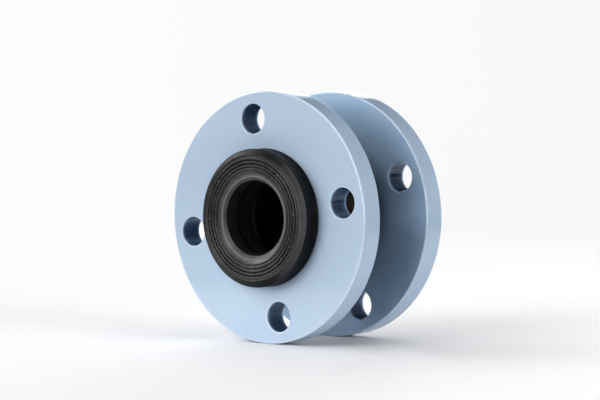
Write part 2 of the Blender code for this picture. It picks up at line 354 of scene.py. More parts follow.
PLY_INSIDE, PLY_OUTSIDE = (neck_radius(share) for share in LAYERS["first_cord_ply"][:2])
PLY_BACK = FACE_BACK - CLEARANCE - (PLY_OUTSIDE - PLY_INSIDE)
BEAD_FILLER_BACK = PLY_BACK - CLEARANCE - BEAD_FILLER_WIDTH
BEAD_STATION = (PLY_BACK + COLLAR_BACK + COLLAR_BACK_THICKNESS) / 2


def without_repeats(points):
    """The same outline without points that fall on the one before."""
    step = np.linalg.norm(np.diff(points, axis=0), axis=1)
    return points[np.concatenate([[True], step > 0.01 * MM])]


def blended(share, inner, outer):
    """The value at a share of the wall's thickness, from its inner to its outer surface."""
    return inner + share * (outer - inner)


def wall_curve(share, end_station):
    """One half of the wall at a share of its thickness: crown, shoulder, root and neck.

    Gives the stretch before the zone cut and the stretch after it.
    """
    half_width, shoulder, root = (
        blended(share, a, b) for a, b in zip(INNER_ARCH, OUTER_ARCH)
    )
    crown = blended(share, CROWN_INNER_RADIUS, CROWN_OUTER_RADIUS)
    neck = neck_radius(share)
    radii = (crown - shoulder, half_width)
    cut = math.degrees(math.asin(ZONE_CUT / half_width))
    before = arc((shoulder, 0.0), radii, 0.0, cut, 14)
    flank = arc((shoulder, 0.0), radii, cut, 90.0, 16)
    curl = arc((neck + root, half_width + root), (root, root), 270.0, 180.0, 10)
    neck_line = line((neck, half_width + root), (neck, end_station), 10)
    return before, without_repeats(np.concatenate([flank, curl, neck_line]))


def crown_bead(curve):
    """The mould's parting line: a low ridge round the crown."""
    raised = curve.copy()
    raised[:, 0] += PARTING_LINE_HEIGHT * np.exp(-((curve[:, 1] / PARTING_LINE_WIDTH) ** 2))
    return raised


def fine_crown(share):
    """The middle zone's outline with steps crowded toward the parting line."""
    fine = np.linspace(-1.0, 1.0, 81)
    stations = ZONE_CUT * np.sign(fine) * np.abs(fine) ** 1.8
    half_width, shoulder = (blended(share, INNER_ARCH[i], OUTER_ARCH[i]) for i in (0, 1))
    crown = blended(share, CROWN_INNER_RADIUS, CROWN_OUTER_RADIUS)
    radii = shoulder + (crown - shoulder) * np.sqrt(1.0 - (stations / half_width) ** 2)
    return np.stack([radii, stations], axis=1)


def bore_groove(curve):
    """A shallow groove moulded round the bore inside each collar."""
    straight = curve[:, 1] > BORE_GROOVE_STATION - 6.0 * MM
    fine = line(curve[straight][0], curve[-1], 64)
    fine[:, 0] += BORE_GROOVE_DEPTH * np.exp(
        -(((fine[:, 1] - BORE_GROOVE_STATION) / BORE_GROOVE_WIDTH) ** 2)
    )
    return np.concatenate([curve[~straight], fine])


def wall_zones(name):
    """The middle, rear and front zones of a wall layer, each as its own closed mesh."""
    inside, outside = LAYERS[name][:2]
    ends = layer_ends(name)
    inner_before, inner_after = wall_curve(inside, ends[0])
    if name == "inner_liner":
        inner_after = bore_groove(inner_after)
    outer_before, outer_after = wall_curve(outside, ends[1])
    angles = ring_angles(WALL_STEPS)

    def mirrored(half):
        """A half curve carried across the middle plane, from the front cut to the rear cut."""
        return np.concatenate([(half * (1.0, -1.0))[::-1], half[1:]])

    def half_ways(before, after, facing):
        """Normals of the middle zone's and the end zones' stretches of one surface."""
        whole = mirrored(np.concatenate([before, after[1:]]))
        ways = stretch_normals(whole, facing)
        middle = len(whole) // 2
        reach = len(before) - 1
        return ways[middle - reach:middle + reach + 1], ways[middle + reach:]

    zones = {}
    inner_middle, outer_middle = mirrored(inner_before), mirrored(outer_before)
    inner_middle_ways, inner_after_ways = half_ways(inner_before, inner_after, 1.0)
    outer_middle_ways, outer_after_ways = half_ways(outer_before, outer_after, -1.0)

    if name == "outer_cover":
        outer_middle = crown_bead(fine_crown(outside))
        outer_middle_ways = stretch_normals(outer_middle, -1.0)

    skin = Skin()
    turned(skin, inner_middle, inner_middle_ways, angles)
    turned(skin, outer_middle, outer_middle_ways, angles)
    for end, way in ((0, -1.0), (-1, 1.0)):
        cut = line(inner_middle[end], outer_middle[end], 3)
        turned(skin, cut, np.tile([0.0, way], (len(cut), 1)), angles)
    zones["middle"] = skin.mesh(name + "_middle")

    for label, side in (("rear", 1.0), ("front", -1.0)):
        skin = Skin()
        turned(skin, inner_after, inner_after_ways, angles, side)
        turned(skin, outer_after, outer_after_ways, angles, side)
        cut = line(inner_after[0], outer_after[0], 3)
        turned(skin, cut, np.tile([0.0, -1.0], (len(cut), 1)), angles, side)
        for stretch in layer_end_stretches(name, inner_after[-1], outer_after[-1]):
            turned(skin, stretch, stretch_normals(stretch, 1.0), angles, side)
        zones[label] = skin.mesh(name + "_" + label)
    return zones


def layer_ends(name):
    """Stations where a layer's bore side and its outer side end."""
    if name == "inner_liner":
        return FACE_BACK - CLEARANCE, FACE_BACK - CLEARANCE
    if name == "first_cord_ply":
        return FACE_BACK - CLEARANCE, PLY_BACK
    return (BEAD_FILLER_BACK - CLEARANCE,) * 2


def layer_end_stretches(name, bore_side, outer_side):
    """What closes a layer's end: a flat, or the first ply's flap turned up behind the face."""
    if name != "first_cord_ply":
        return [line(bore_side, outer_side, 2)]
    tip = COLLAR_RADIUS - SKIRT_THICKNESS - CLEARANCE
    return [
        line(bore_side, (tip, bore_side[1]), 8),
        line((tip, bore_side[1]), (tip, outer_side[1]), 1),
        line((tip, outer_side[1]), outer_side, 8),
    ]


# ---- ends ---------------------------------------------------------------------------------

def groove_dip(radius):
    """How deep the sealing grooves are at a radius: narrow valleys between rounded lands."""
    dip = np.zeros_like(radius)
    for number, depth in enumerate(GROOVE_DEPTHS):
        middle = GROOVE_FIRST_RADIUS + number * GROOVE_PITCH
        dip += depth * np.exp(-((radius - middle) / GROOVE_WIDTH) ** 2)
    return dip


# nubs and nicks left by the mould: angle in degrees, then radius, half length and height in mm
MARKS = (
    (-177.5, 33.5, 0.6, 0.75),
    (-132.5, 33.4, 0.6, 0.75),
    (-84.0, 33.4, 1.3, -0.50),
    (-44.0, 33.4, 0.6, 0.70),
    (5.0, 33.4, 0.9, 0.70),
    (51.0, 33.2, 0.6, 0.90),
    (91.0, 33.4, 1.9, -0.50),
    (140.0, 33.4, 0.6, 0.75),
    (-35.0, 36.6, 0.5, 0.65),
    (-27.5, 34.3, 0.5, 0.65),
)
MARK_WIDTH = 0.34 * MM
SMALLEST_COLLAR_STEP = 0.0012     # radians between neighbouring points round the collar


def mark_height(radius, angle):
    """How far the mould's marks stand out of the sealing face at a place."""
    height = np.zeros(np.broadcast(radius, angle).shape)
    for turn, middle, half, tall in MARKS:
        place = math.radians(turn)
        off = (angle - place + math.pi) % (2.0 * math.pi) - math.pi
        across = off * middle * MM / MARK_WIDTH
        along = (radius - middle * MM) / (half * MM)
        height += tall * MM * np.exp(-(across**2) - along**4)
    return height


def collar_angles():
    """Even steps, with extra ones across each moulding mark."""
    even = ring_angles(224)
    extra = []
    for turn, middle, _, _ in MARKS:
        reach = 2.0 * MARK_WIDTH / (middle * MM)
        extra.append(math.radians(turn) + np.linspace(-reach, reach, 9))
    merged = np.sort(np.concatenate([even] + extra) % (2.0 * math.pi))
    apart = np.diff(np.concatenate([merged, merged[:1] + 2.0 * math.pi]))
    return merged[apart > SMALLEST_COLLAR_STEP]


def waisted_side(edge_station):
    """The collar's side, hollowed a little between its front and back edges."""
    back_edge = COLLAR_BACK + COLLAR_BACK_EDGE_RADIUS
    side = line((COLLAR_RADIUS, edge_station), (COLLAR_RADIUS, back_edge), 16)
    share = np.linspace(0.0, 1.0, len(side))
    side[:, 0] -= COLLAR_WAIST * np.sin(math.pi * share) ** 0.7
    return side


def collar_mesh(name, side):
    """A sealing collar: grooved face, lip, bevelled shoulder, waisted side and bead channel."""
    skin = Skin()
    angles = collar_angles()
    shoulder = SEALING_FACE - COLLAR_SHOULDER_DROP
    rim_centre = (COLLAR_RADIUS - COLLAR_EDGE_RADIUS, shoulder - COLLAR_EDGE_RADIUS)
    mouth = (BORE_RADIUS, SEALING_FACE - LIP_MOUTH_DROP)
    bend = (LIP_BEND_RADIUS, SEALING_FACE - LIP_BEND_DROP)
    crest = (CREST_INNER_RADIUS, SEALING_FACE - LIP_CREST_DROP)
    bore_start = (BORE_RADIUS, FACE_BACK + 0.2 * MM)
    outline = np.concatenate([
        line(bore_start, mouth, 5),
        line(mouth, bend, 22)[1:],
        line(bend, crest, 22)[1:],
        line(crest, (DISH_RADIUS, SEALING_FACE), 52)[1:],
        line((DISH_RADIUS, SEALING_FACE), (CREST_OUTER_RADIUS, SEALING_FACE), 48)[1:],
        line((CREST_OUTER_RADIUS, SEALING_FACE), (rim_centre[0], shoulder), 20)[1:],
        arc(rim_centre, (COLLAR_EDGE_RADIUS,) * 2, 90.0, 0.0, 6)[1:],
        waisted_side(rim_centre[1])[1:],
    ])
    for _ in range(5):      # softens the corners between the stretches
        outline[1:-1] = (outline[:-2] + 2.0 * outline[1:-1] + outline[2:]) / 4.0
    face = outline[:, 1] > shoulder
    outline[:, 1] -= groove_dip(outline[:, 0]) * face
    bead = np.exp(-(((outline[:, 0] - LIP_BEND_RADIUS) / LIP_BEAD_WIDTH) ** 2))
    outline[:, 1] += LIP_BEAD_HEIGHT * bead

    columns = outline[None, :, 0]
    rows = angles[:, None]
    lifted = outline[None, :, 1] + mark_height(columns, rows)
    radius = np.broadcast_to(columns, lifted.shape)
    points = np.stack([radius * np.cos(rows), lifted * side, radius * np.sin(rows)], -1)
    skin.patch(points, grid_normals(points, side), closed=True)

    channel = COLLAR_RADIUS - SKIRT_THICKNESS
    back_lip = COLLAR_BACK + COLLAR_BACK_THICKNESS
    hole = NECK_RADIUS + CLEARANCE
    edge = COLLAR_BACK_EDGE_RADIUS
    back = [
        arc((COLLAR_RADIUS - edge, COLLAR_BACK + edge), (edge, edge), 0.0, -90.0, 3),
        line((COLLAR_RADIUS - edge, COLLAR_BACK), (hole, COLLAR_BACK), 4),
        line((hole, COLLAR_BACK), (hole, back_lip), 1),
        line((hole, back_lip), (channel, back_lip), 2),
        line((channel, back_lip), (channel, FACE_BACK), 4),
        line((channel, FACE_BACK), (BORE_RADIUS, FACE_BACK), 8),
        line((BORE_RADIUS, FACE_BACK), bore_start, 1),
    ]
    turned_loop(skin, back, angles, side, 1)
    return skin.mesh(name)


def grid_normals(points, side):
    """Normals of a closed grid from its neighbours; the outline runs from bore to rim."""
    around = np.roll(points, -1, axis=0) - np.roll(points, 1, axis=0)
    along = np.gradient(points, axis=1)
    ways = np.cross(along, around)
    ways /= np.linalg.norm(ways, axis=-1)[..., None]
    middle = ways[:, ways.shape[1] // 3]
    if (middle[:, 1] * side).mean() < 0:
        ways = -ways
    return ways


def bead_ring_mesh(name, side):
    """Seven wires laid up as a cable: one straight core and six wound round it."""
    skin = Skin()
    wire = BEAD_SECTION_RADIUS / 3.0
    thick = 0.97 * wire         # leaves a gap between neighbouring wires
    rows = ring_angles(192)[:, None]
    turn = ring_angles(12)
    loop = np.concatenate([turn, turn[:1]])
    lays = 24
    for number in range(7):
        offset = 0.0 if number == 0 else 2.0 * wire
        lean = lays * rows + number * math.pi / 3.0
        radius = BEAD_RADIUS + offset * np.cos(lean) + thick * np.cos(loop)[None]
        station = BEAD_STATION + offset * np.sin(lean) + thick * np.sin(loop)[None]
        points = np.stack([radius * np.cos(rows), station * side, radius * np.sin(rows)], -1)
        out = np.broadcast_to(np.cos(loop)[None], radius.shape)
        along = np.broadcast_to(np.sin(loop)[None], radius.shape) * side
        ways = np.stack([out * np.cos(rows), along, out * np.sin(rows)], -1)
        skin.patch(points, ways, closed=True)
    return skin.mesh(name)


def bead_wrap_mesh(name, side):
    """Fabric tape round the bead ring, its edges meeting on the side away from the axis."""
    skin = Skin()
    inside = BEAD_SECTION_RADIUS + CLEARANCE
    outside = inside + BEAD_WRAP_THICKNESS
    centre = (BEAD_RADIUS, BEAD_STATION)
    outer = arc(centre, (outside, outside), 15.0, 345.0, 28)
    inner = arc(centre, (inside, inside), 345.0, 15.0, 28)
    loop = [outer, line(outer[-1], inner[0]), inner, line(inner[-1], outer[0])]
    turned_loop(skin, loop, ring_angles(120), side, -1)
    return skin.mesh(name)


def bead_filler_mesh(name, side):
    """The rubber wedge under the bead ring."""
    skin = Skin()
    base = PLY_OUTSIDE + CLEARANCE
    front = PLY_BACK - CLEARANCE
    back = BEAD_FILLER_BACK
    corners = [
        (base, front),
        (base, back),
        (BEAD_FILLER_TOP_RADIUS, back + BEAD_FILLER_SLOPE),
        (BEAD_FILLER_TOP_RADIUS, front),
    ]
    loop = [line(corners[i - 1], corners[i], 3) for i in range(len(corners))]
    turned_loop(skin, loop, ring_angles(120), side, -1)
    return skin.mesh(name)


# ==== materials ============================================================================

class Graph:
    """A node tree, with short ways to add and wire its nodes."""

    def __init__(self, tree, coordinates):
        self.tree = tree
        self.place = self.add("ShaderNodeTexCoord").outputs[coordinates]

    def add(self, kind, **settings):
        node = self.tree.nodes.new(kind)
        for key, value in settings.items():
            setattr(node, key, value)
        return node

    def wire(self, source, target):
        """Link a socket to a socket, or set a number on it."""
        if isinstance(source, (int, float)):
            target.default_value = source
        else:
            self.tree.links.new(source, target)

    def noise(self, scale, detail=2.0, roughness=0.5):
        node = self.add("ShaderNodeTexNoise")
        node.inputs["Scale"].default_value = scale
        node.inputs["Detail"].default_value = detail
        node.inputs["Roughness"].default_value = roughness
        self.wire(self.place, node.inputs["Vector"])
        return node.outputs["Fac"]

    def maths(self, operation, a, b=0.0):
        node = self.add("ShaderNodeMath", operation=operation)
        self.wire(a, node.inputs[0])
        self.wire(b, node.inputs[1])
        return node.outputs[0]

    def times(self, a, b):
        return self.maths("MULTIPLY", a, b)

    def away(self, value, middle):
        """How far a value is from a middle, either way."""
        return self.maths("ABSOLUTE", self.maths("SUBTRACT", value, middle))

    def waves(self, value, pitch):
        return self.maths("SINE", self.times(value, 2 * math.pi / pitch))

    def spread(self, value, low, high, out_low=0.0, out_high=1.0, **settings):
        """A value carried from one range to another and kept inside it."""
        node = self.add("ShaderNodeMapRange", **settings)
        self.wire(value, node.inputs["Value"])
        for key, number in (
            ("From Min", low), ("From Max", high), ("To Min", out_low), ("To Max", out_high)
        ):
            node.inputs[key].default_value = number
        return node.outputs["Result"]

    def smooth_step(self, axis, low, high, out_low, out_high):
        """A smooth step in the cosine of the angle between the direction and an axis."""
        way = self.add("ShaderNodeVectorMath", operation="NORMALIZE")
        self.wire(self.place, way.inputs[0])
        cosine = self.along(way.outputs[0], Vector(axis).normalized())
        return self.spread(cosine, low, high, out_low, out_high, interpolation_type="SMOOTHSTEP")

    def along(self, vector, axis):
        """How far a vector reaches along an axis."""
        node = self.add("ShaderNodeVectorMath", operation="DOT_PRODUCT")
        self.wire(vector, node.inputs[0])
        node.inputs[1].default_value = axis
        return node.outputs["Value"]

    def mixed(self, share, first, second):
        """A colour between two, each a socket or three numbers."""
        node = self.add("ShaderNodeMix", data_type="RGBA")
        self.wire(share, node.inputs["Factor"])
        for socket, value in ((node.inputs[6], first), (node.inputs[7], second)):
            if isinstance(value, tuple):
                socket.default_value = (*value, 1.0)
            else:
                self.wire(value, socket)
        return node.outputs[2]

    def either(self, share, first, second):
        """The first shader where the share is 0 and the second where it is 1."""
        node = self.add("ShaderNodeMixShader")
        for source, socket in zip((share, first, second), node.inputs):
            self.wire(source, socket)
        return node.outputs[0]


class Nodes(Graph):
    """A material's node tree."""

    def __init__(self, name):
        self.material = bpy.data.materials.new(name)
        self.material.use_nodes = True
        super().__init__(self.material.node_tree, "Object")
        self.shader = self.tree.nodes["Principled BSDF"]

    def turned_place(self):
        """Distance from the pipe axis, station along it, and angle round it."""
        parts = self.add("ShaderNodeSeparateXYZ")
        self.wire(self.place, parts.inputs[0])
        x, station, z = parts.outputs
        radius = self.maths("SQRT", self.maths("ADD", self.times(x, x), self.times(z, z)))
        return radius, station, self.maths("ARCTAN2", z, x)

    def bump(self, height, distance, strength=1.0, under=None):
        node = self.add("ShaderNodeBump")
        node.inputs["Strength"].default_value = strength
        node.inputs["Distance"].default_value = distance
        self.wire(height, node.inputs["Height"])
        if under is not None:
            self.wire(under, node.inputs["Normal"])
        return node.outputs["Normal"]

    def surface(self, colour, roughness, normal, metallic=0.0, specular=0.5, sheen=0.0):
        inputs = self.shader.inputs
        self.wire(colour, inputs["Base Color"])
        self.wire(roughness, inputs["Roughness"])
        self.wire(normal, inputs["Normal"])
        inputs["Metallic"].default_value = metallic
        inputs["Specular IOR Level"].default_value = specular
        inputs["Sheen Weight"].default_value = sheen
        return self.material


# colour pairs are the two ends of a slow, cloudy change over the surface
PAINT_OUTER_FACE = (0.425, 0.512, 0.615), (0.445, 0.534, 0.637)
# rim and inner-face tints are bluer copies of the face paint: painted shade colour
PAINT_RIM_SHADE_TINT = (0.430, 0.530, 0.648), (0.450, 0.552, 0.672)
PAINT_INNER_FACE_SHADE_TINT = (0.412, 0.538, 0.682), (0.432, 0.560, 0.707)
# bolt hole walls: painted shade of the recess, partly thinner paint
PAINT_HOLE_SHADE = (0.150, 0.214, 0.312), (0.222, 0.300, 0.418)
# lighter edges: painted highlight mixed with worn paint
PAINT_EDGE_WEAR_AND_HIGHLIGHT = (0.84, 0.88, 0.92)
PAINT_SPECK = (0.17, 0.23, 0.31)
DRILLED_PITCH = 1.15 * MM
LATHE_PITCH = 0.62 * MM

COVER_PLAIN = (0.0078, 0.0080, 0.0088), (0.0128, 0.0130, 0.0142)
COVER_ARCH = (0.0110, 0.0098, 0.0088), (0.0180, 0.0160, 0.0145)
COVER_SHOULDER = (0.0120, 0.0117, 0.0115), (0.0210, 0.0205, 0.0201)
# the shoulder's lighter copy, used on its +X side: painted light
COVER_SHOULDER_LIT_SIDE = (0.0780, 0.0778, 0.0778), (0.1150, 0.1148, 0.1148)
COVER_RINGS = (0.0500, 0.0500, 0.0505), (0.0800, 0.0800, 0.0805)
# lighter lip tint: painted sheen of the lip
COVER_LIP_SHEEN = (0.1150, 0.1150, 0.1155), (0.1700, 0.1700, 0.1705)
# near-black groove bottoms: painted shade
COVER_GROOVE_SHADE = (0.0050, 0.0050, 0.0055)
# light line on the lip bead: painted highlight
COVER_BEAD_HIGHLIGHT = (0.240, 0.240, 0.242)
# light tops of the mould nubs: painted highlight
COVER_NUB_HIGHLIGHT = (0.300, 0.300, 0.302)
COVER_MOTTLE = (0.150, 0.150, 0.150)
COVER_DUST = (0.13, 0.13, 0.132)
TURNED_PITCH = 0.55 * MM
TINT_FADE = 0.9 * MM         # how wide the change is from ring to ring of the sealing face

LINER_MOUTH = (0.050, 0.047, 0.050), (0.080, 0.076, 0.080)
# darker tint deep in the bore: painted shade
LINER_DEEP_SHADE = (0.0240, 0.0225, 0.0240)
# near-black round the bore groove: painted shade
LINER_GROOVE_SHADE = (0.006, 0.006, 0.006)
LINER_RING_PITCH = 1.9 * MM

CORD_GAP = (0.045, 0.040, 0.034)
CORD = (0.34, 0.285, 0.205)
CORD_COUNT = 150.0           # round the pipe axis
CORD_LAY = 55.0              # radians round the axis for each metre along it
WIRE = (0.56, 0.42, 0.24), (0.44, 0.36, 0.27)
TAPE_GAP = (0.035, 0.033, 0.030)
TAPE = (0.23, 0.21, 0.185)
TAPE_WARP_COUNT = 280.0      # round the pipe axis
TAPE_PITCH = 0.8 * MM


def edge_nearness(nodes, radius, from_middle):
    """1 on the flange's rounded edges, falling to 0 a little way into the faces."""
    from_face = nodes.maths("SUBTRACT", FLANGE_THICKNESS / 2, from_middle)
    from_rim = nodes.maths("SUBTRACT", FLANGE_RADIUS, radius)
    corner = nodes.maths("ADD", nodes.maths("ABSOLUTE", from_face), from_rim)
    return nodes.spread(corner, 0.45 * MM, 1.15 * MM, 1.0, 0.0)


def hole_nearness(nodes, radius, station, angle):
    """Two shares: 1 on the walls of the bolt holes, and 1 on their rounded edges."""
    clocking = nodes.spread(station, -MM, MM, FRONT_CLOCKING, REAR_CLOCKING)
    turned_by = nodes.maths("SUBTRACT", angle, clocking)
    quarters = nodes.maths("ROUND", nodes.maths("DIVIDE", turned_by, QUARTER))
    off = nodes.maths("SUBTRACT", turned_by, nodes.times(quarters, QUARTER))
    along = nodes.times(radius, nodes.maths("COSINE", off))
    along = nodes.maths("SUBTRACT", along, BOLT_CIRCLE_RADIUS)
    across = nodes.times(radius, nodes.maths("SINE", off))
    square = nodes.maths("ADD", nodes.times(along, along), nodes.times(across, across))
    distance = nodes.maths("SQRT", square)
    inside = nodes.spread(
        distance, BOLT_HOLE_RADIUS + 0.05 * MM, BOLT_HOLE_RADIUS + 0.30 * MM, 1.0, 0.0
    )
    off_edge = nodes.away(distance, BOLT_HOLE_RADIUS + 0.42 * MM)
    edge = nodes.spread(off_edge, 0.15 * MM, 0.35 * MM, 1.0, 0.0)
    return inside, edge


def flange_paint(name):
    """Light grey-blue enamel over steel: painted shade and thinner paint in the bolt holes,
    painted highlights mixed with wear on the edges, bluer painted shade on the rims and inner
    faces.
    """
    nodes = Nodes(name)
    radius, station, angle = nodes.turned_place()
    depth = nodes.maths("ABSOLUTE", station)
    from_middle = nodes.away(depth, (FLANGE_INNER_FACE + FLANGE_OUTER_FACE) / 2)

    cloud = nodes.spread(nodes.noise(14.0), 0.25, 0.75)
    # the rims and inner faces take bluer copies of the paint: painted shade colour
    outer = nodes.mixed(cloud, *PAINT_OUTER_FACE)
    rim = nodes.mixed(cloud, *PAINT_RIM_SHADE_TINT)
    inner = nodes.mixed(cloud, *PAINT_INNER_FACE_SHADE_TINT)
    on_rim = nodes.spread(radius, FLANGE_RADIUS - 0.40 * MM, FLANGE_RADIUS - 0.10 * MM)
    on_outer = nodes.spread(depth, FLANGE_OUTER_FACE - 0.4 * MM, FLANGE_OUTER_FACE - 0.1 * MM)
    tint = nodes.mixed(on_outer, nodes.mixed(on_rim, inner, rim), outer)

    specks = nodes.spread(nodes.noise(1300.0, 1.0), 0.735, 0.765)
    patches = nodes.spread(nodes.noise(26.0), 0.52, 0.66)
    dusty = nodes.times(specks, patches)
    tint = nodes.mixed(nodes.times(dusty, 0.45), tint, PAINT_SPECK)

    inside, hole_edge = hole_nearness(nodes, radius, station, angle)
    # rounded rim and hole edges lightened: painted highlight mixed with wear
    edge = nodes.maths("MAXIMUM", edge_nearness(nodes, radius, from_middle), hole_edge)
    rubbed = nodes.spread(nodes.noise(150.0, 3.0, 0.6), 0.30, 0.60, 0.10, 0.42)
    tint = nodes.mixed(nodes.times(edge, rubbed), tint, PAINT_EDGE_WEAR_AND_HIGHLIGHT)

    # bolt hole walls darkened: painted shade, partly thinner paint; the face colour reaching in
    # from the mouths is painted light
    hole_tone_noise = nodes.spread(nodes.noise(300.0, 3.0, 0.6), 0.25, 0.75, 0.0, 0.75)
    drilled = nodes.spread(nodes.waves(station, DRILLED_PITCH), -1.0, 1.0, 0.0, 0.30)
    wall = nodes.mixed(nodes.maths("ADD", hole_tone_noise, drilled), *PAINT_HOLE_SHADE)
    from_mouth = nodes.maths("SUBTRACT", FLANGE_THICKNESS / 2, from_middle)
    mouth_paint_and_light = nodes.spread(from_mouth, 0.9 * MM, 2.6 * MM, 0.85, 0.0)
    tint = nodes.mixed(inside, tint, nodes.mixed(mouth_paint_and_light, wall, tint))

    ripple = nodes.noise(85.0)
    swell = nodes.spread(nodes.noise(18.0, 1.0), 0.35, 0.65, 0.2, 1.0)
    peel = nodes.times(nodes.noise(520.0), swell)
    uneven = nodes.spread(nodes.noise(45.0), 0.35, 0.65)
    lathe = nodes.times(nodes.waves(station, LATHE_PITCH), nodes.times(on_rim, uneven))
    normal = nodes.bump(ripple, 0.06 * MM, 0.30)
    normal = nodes.bump(peel, 0.035 * MM, 0.30, normal)
    normal = nodes.bump(dusty, 0.05 * MM, 0.6, normal)
    normal = nodes.bump(lathe, 0.012 * MM, 0.35, normal)
    gloss = nodes.spread(nodes.noise(60.0, 3.0, 0.6), 0.3, 0.7, 0.06, 0.11)
    return nodes.surface(tint, gloss, normal)


def cover_rubber(name):
    """Black moulded rubber: matte on the arch, lighter grey on the sealing faces; painted
    highlights on the lip, bead and nubs and on the shoulder's +X side, painted shade in the
    grooves.
    """
    nodes = Nodes(name)
    radius, station, angle = nodes.turned_place()
    depth = nodes.maths("ABSOLUTE", station)
    cloud = nodes.spread(nodes.noise(70.0, 4.0, 0.6), 0.40, 0.70)
    arch = nodes.spread(depth, FLANGE_INNER_FACE, FLANGE_OUTER_FACE, 1.0, 0.0)
    body = nodes.mixed(arch, nodes.mixed(cloud, *COVER_PLAIN), nodes.mixed(cloud, *COVER_ARCH))

    def within(edge, fade):
        """1 inside a radius, 0 outside it."""
        return nodes.spread(radius, edge - fade, edge, 1.0, 0.0)

    face = nodes.spread(depth, SEALING_FACE - 4.0 * MM, SEALING_FACE - 2.4 * MM)
    face = nodes.times(face, within(COLLAR_RADIUS - 0.2 * MM, 0.3 * MM))
    ringed = within(CREST_OUTER_RADIUS, TINT_FADE)
    on_lip = within(CREST_INNER_RADIUS, TINT_FADE)
    # the shoulder is lighter on its +X side: painted light
    lit_side_share = nodes.spread(nodes.maths("COSINE", angle), 0.40, 0.97)
    shoulder = nodes.mixed(cloud, *COVER_SHOULDER)
    shoulder = nodes.mixed(lit_side_share, shoulder, nodes.mixed(cloud, *COVER_SHOULDER_LIT_SIDE))
    # sealing face lighter grey than the body, with painted sheen on the lip and a painted lit
    # side on the shoulder
    face_tone = nodes.mixed(ringed, shoulder, nodes.mixed(cloud, *COVER_RINGS))
    face_tone = nodes.mixed(on_lip, face_tone, nodes.mixed(cloud, *COVER_LIP_SHEEN))
    tint = nodes.mixed(face, body, face_tone)

    # darkens the bottoms of the sealing grooves: painted shade
    valley = nodes.spread(depth, SEALING_FACE - 0.80 * MM, SEALING_FACE - 0.40 * MM, 1.0, 0.0)
    rings = nodes.times(ringed, nodes.maths("SUBTRACT", 1.0, on_lip))
    groove_shade = nodes.times(nodes.times(valley, rings), face)
    tint = nodes.mixed(nodes.times(groove_shade, 0.92), tint, COVER_GROOVE_SHADE)
    # light line along the lip bead: painted highlight
    off_bead = nodes.away(radius, LIP_BEND_RADIUS)
    bead = nodes.times(nodes.spread(off_bead, 0.25 * MM, 0.60 * MM, 1.0, 0.0), face)
    tint = nodes.mixed(bead, tint, COVER_BEAD_HIGHLIGHT)
    # light tops of the mould nubs: painted highlight
    nub_highlight = nodes.spread(depth, SEALING_FACE + 0.15 * MM, SEALING_FACE + 0.35 * MM)
    tint = nodes.mixed(nub_highlight, tint, COVER_NUB_HIGHLIGHT)
    rubbed = nodes.times(face, ringed)
    mottle = nodes.spread(nodes.noise(700.0, 3.0, 0.65), 0.48, 0.62, 0.0, 0.18)
    tint = nodes.mixed(nodes.times(mottle, rubbed), tint, COVER_MOTTLE)
    dust = nodes.spread(nodes.noise(1300.0, 2.0, 0.6), 0.64, 0.76)
    tint = nodes.mixed(nodes.times(dust, 0.45), tint, COVER_DUST)

    wobble = nodes.times(nodes.noise(30.0), 0.25 * MM)
    turned_lines = nodes.waves(nodes.maths("ADD", radius, wobble), TURNED_PITCH)
    dimples = nodes.noise(240.0, 3.0, 0.6)
    grain = nodes.noise(900.0, 3.0, 0.6)
    normal = nodes.bump(turned_lines, 0.02 * MM, 0.35)
    normal = nodes.bump(dimples, 0.10 * MM, 0.35, normal)
    normal = nodes.bump(grain, 0.07 * MM, 0.55, normal)
    gloss = nodes.spread(nodes.noise(45.0, 4.0, 0.65), 0.3, 0.7, 0.36, 0.48)
    gloss = nodes.maths("ADD", gloss, nodes.times(arch, 0.26))
    gloss = nodes.maths("SUBTRACT", gloss, nodes.times(rubbed, 0.18))
    return nodes.surface(tint, gloss, normal, specular=0.28)


def liner_rubber(name):
    """Smoother black rubber of the bore with faint rings; painted shade makes it darker deep
    inside than near its mouths and dark round the bore groove.
    """
    nodes = Nodes(name)
    station = nodes.turned_place()[1]
    depth = nodes.maths("ABSOLUTE", station)
    cloud = nodes.spread(nodes.noise(90.0, 4.0, 0.6), 0.4, 0.7)
    # darker deep inside the bore, lighter near the mouths: painted shade
    mouth = nodes.spread(depth, BORE_GROOVE_STATION - 10.0 * MM, BORE_GROOVE_STATION - 7.0 * MM)
    tint = nodes.mixed(mouth, LINER_DEEP_SHADE, nodes.mixed(cloud, *LINER_MOUTH))
    # darkens round the bore groove: painted shade
    off_groove = nodes.away(depth, BORE_GROOVE_STATION)
    liner_groove_shade = nodes.spread(off_groove, 0.6 * MM, 2.2 * MM, 0.85, 0.0)
    tint = nodes.mixed(liner_groove_shade, tint, LINER_GROOVE_SHADE)
    normal = nodes.bump(nodes.waves(station, LINER_RING_PITCH), 0.03 * MM, 0.5)
    normal = nodes.bump(nodes.noise(500.0, 3.0, 0.6), 0.06 * MM, 0.35, normal)
    gloss = nodes.spread(nodes.noise(60.0, 3.0, 0.6), 0.3, 0.7, 0.42, 0.60)
    return nodes.surface(tint, gloss, normal)


